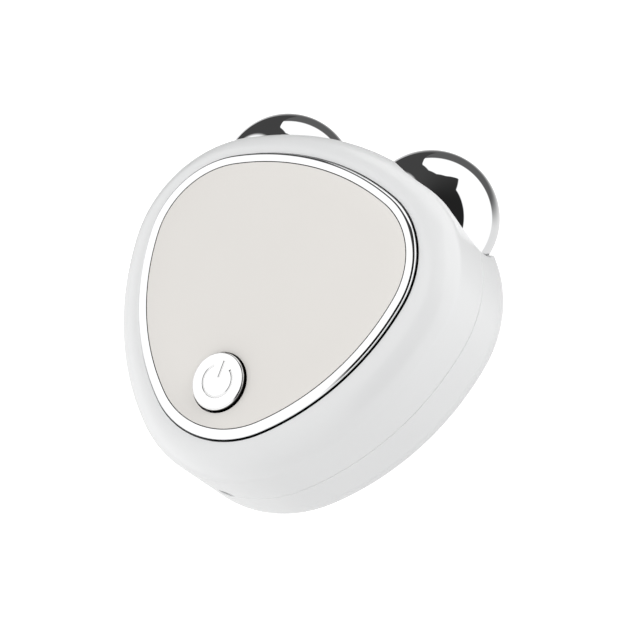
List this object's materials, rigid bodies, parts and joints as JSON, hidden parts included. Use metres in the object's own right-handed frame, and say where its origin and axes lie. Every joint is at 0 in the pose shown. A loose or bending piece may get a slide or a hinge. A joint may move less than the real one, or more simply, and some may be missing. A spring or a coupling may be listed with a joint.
{
  "type": "facial toning device",
  "caption": "Hand-held facial toning device: rounded-triangle white body, bright trim ring around an off-white face plate, round power button, and bright rolling balls at the wide end.",
  "frame": {"origin": "centre of the whole footprint, on the plane of the flat back", "axes": "+Z is the outward normal of the face, +Y points from the tail to the balls, +X is to the right seen from the front with the balls up"},
  "size_m": [0.062, 0.0652, 0.029],
  "materials": {
    "white_gloss": "gloss",
    "panel": "satin",
    "ring_chrome": "mirror polish",
    "button_chrome": "polished",
    "ball_chrome": "mirror polish",
    "film": "adhesive film",
    "spring_steel": "drawn wire",
    "screw_steel": "zinc plated",
    "axle_steel": "ground",
    "nylon": "moulded nylon",
    "bronze": "sintered",
    "contact_gold": "gold plated",
    "board_green": "solder mask",
    "black_plastic": "moulded",
    "switch_grey": "moulded",
    "ceramic_tan": "small parts",
    "socket_steel": "stamped",
    "battery_foil": "laminated foil",
    "foam": "foam pad",
    "plug_white": "moulded",
    "lead_red": "insulated wire"
  },
  "bodies": {
    "housing": {"front_shell": "white_gloss", "rear_shell": "white_gloss", "trim_ring": "ring_chrome", "face_plate": "panel", "plate_film": "film", "return_spring": "spring_steel", "button_guide": "nylon", "guide_screws": "screw_steel", "switch_body": "switch_grey", "main_board": "board_green", "control_chip": "black_plastic", "pulse_coil": "black_plastic", "board_parts": "ceramic_tan", "board_screws": "screw_steel", "charging_socket": "socket_steel", "socket_pin": "contact_gold", "battery": "battery_foil", "battery_pad": "foam", "battery_plug": "plug_white", "battery_leads": "lead_red", "axle_bracket": "nylon", "bracket_screws": "screw_steel", "washer_left": "nylon", "axle_left": "axle_steel", "axle_nut_left": "axle_steel", "contact_spring_left": "contact_gold", "washer_right": "nylon", "axle_right": "axle_steel", "axle_nut_right": "axle_steel", "contact_spring_right": "contact_gold", "housing_screws": "screw_steel", "screw_plugs": "white_gloss"},
    "power_button": {"power_button": "button_chrome", "switch_plunger": "black_plastic"},
    "ball_left": {"ball_left": "ball_chrome", "bush_left": "bronze"},
    "ball_right": {"ball_right": "ball_chrome", "bush_right": "bronze"}
  },
  "joints": [
    {"name": "button_press", "type": "slide", "parent": "housing", "child": "power_button", "axis": [0, 0, -1], "range_m": [0, 0.0006], "stiffness_N_per_m": 1200, "deforming": ["return_spring"]},
    {"name": "ball_left_roll", "type": "hinge", "parent": "housing", "child": "ball_left", "pos_m": [-0.0147, 0.0214, 0.0124], "axis": [-0.4226, 0.9063, 0], "continuous": true},
    {"name": "ball_right_roll", "type": "hinge", "parent": "housing", "child": "ball_right", "pos_m": [0.0147, 0.0214, 0.0124], "axis": [0.4226, 0.9063, 0], "continuous": true}
  ]
}
